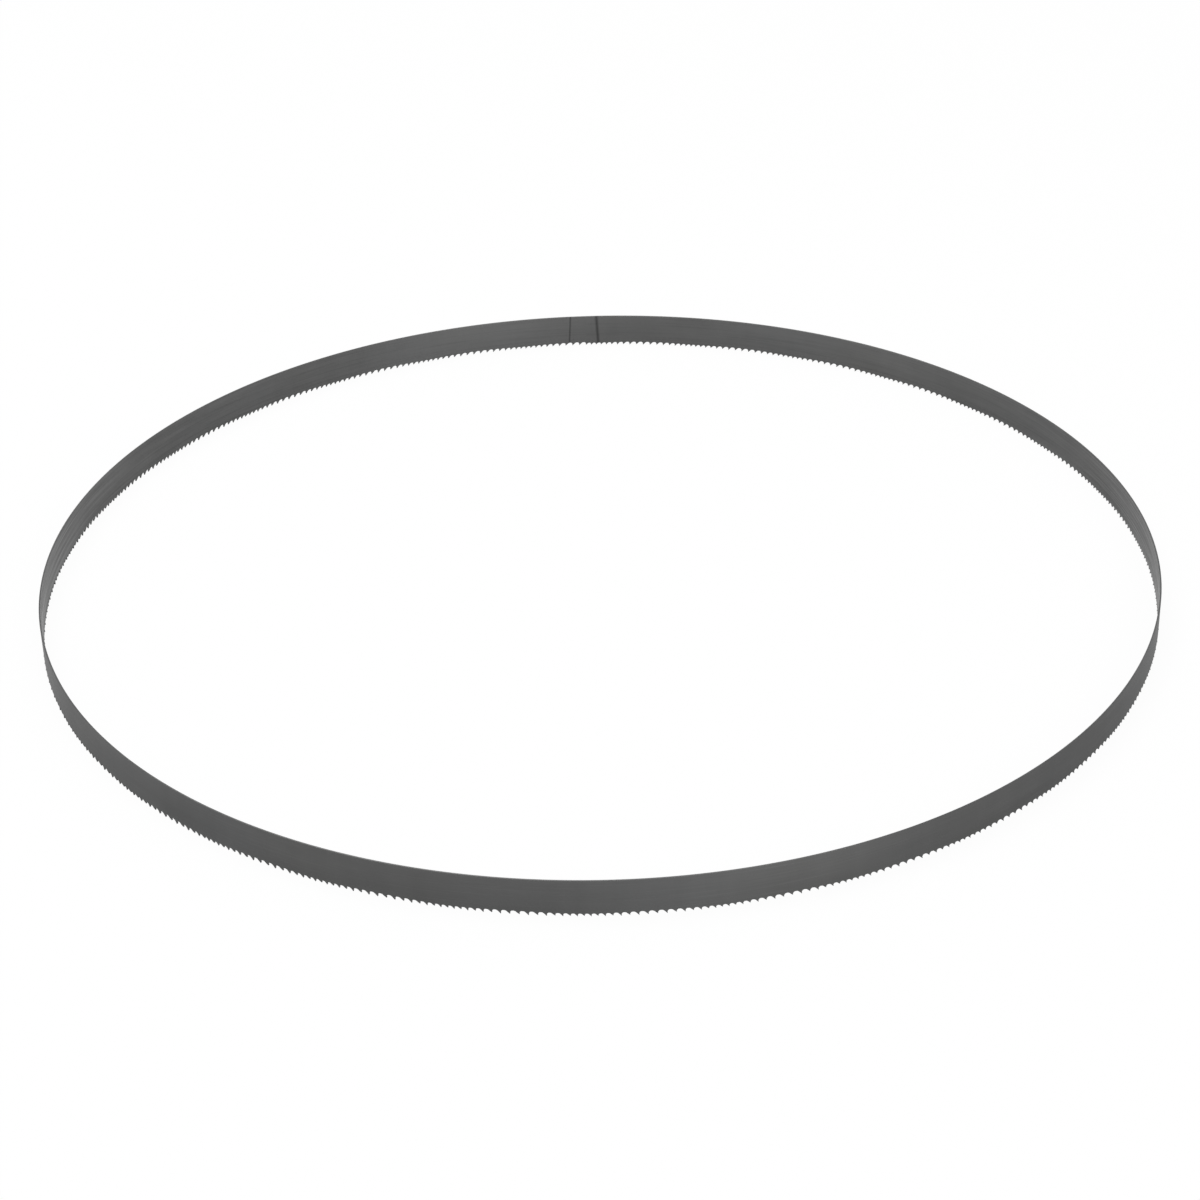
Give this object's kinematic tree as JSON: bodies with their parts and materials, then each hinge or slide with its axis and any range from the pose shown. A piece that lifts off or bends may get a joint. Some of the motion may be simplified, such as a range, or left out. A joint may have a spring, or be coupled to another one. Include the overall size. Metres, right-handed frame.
{
  "type": "band saw blade",
  "caption": "Endless toothed steel band standing on its teeth, with variable-pitch raked teeth, raker set and a ground butt weld.",
  "frame": {"origin": "on the loop's axis, in the plane of the tooth tips that the blade stands on", "axes": "+Z along the loop's axis, from the tooth tips to the smooth back edge; the butt weld lies at about +Y"},
  "size_m": [0.3636, 0.3636, 0.012],
  "materials": {
    "blade_steel": "dark grey hardened spring steel with a fine lengthwise rolling grain, satin"
  },
  "bodies": {
    "root": {"saw_band": "blade_steel"}
  },
  "joints": []
}
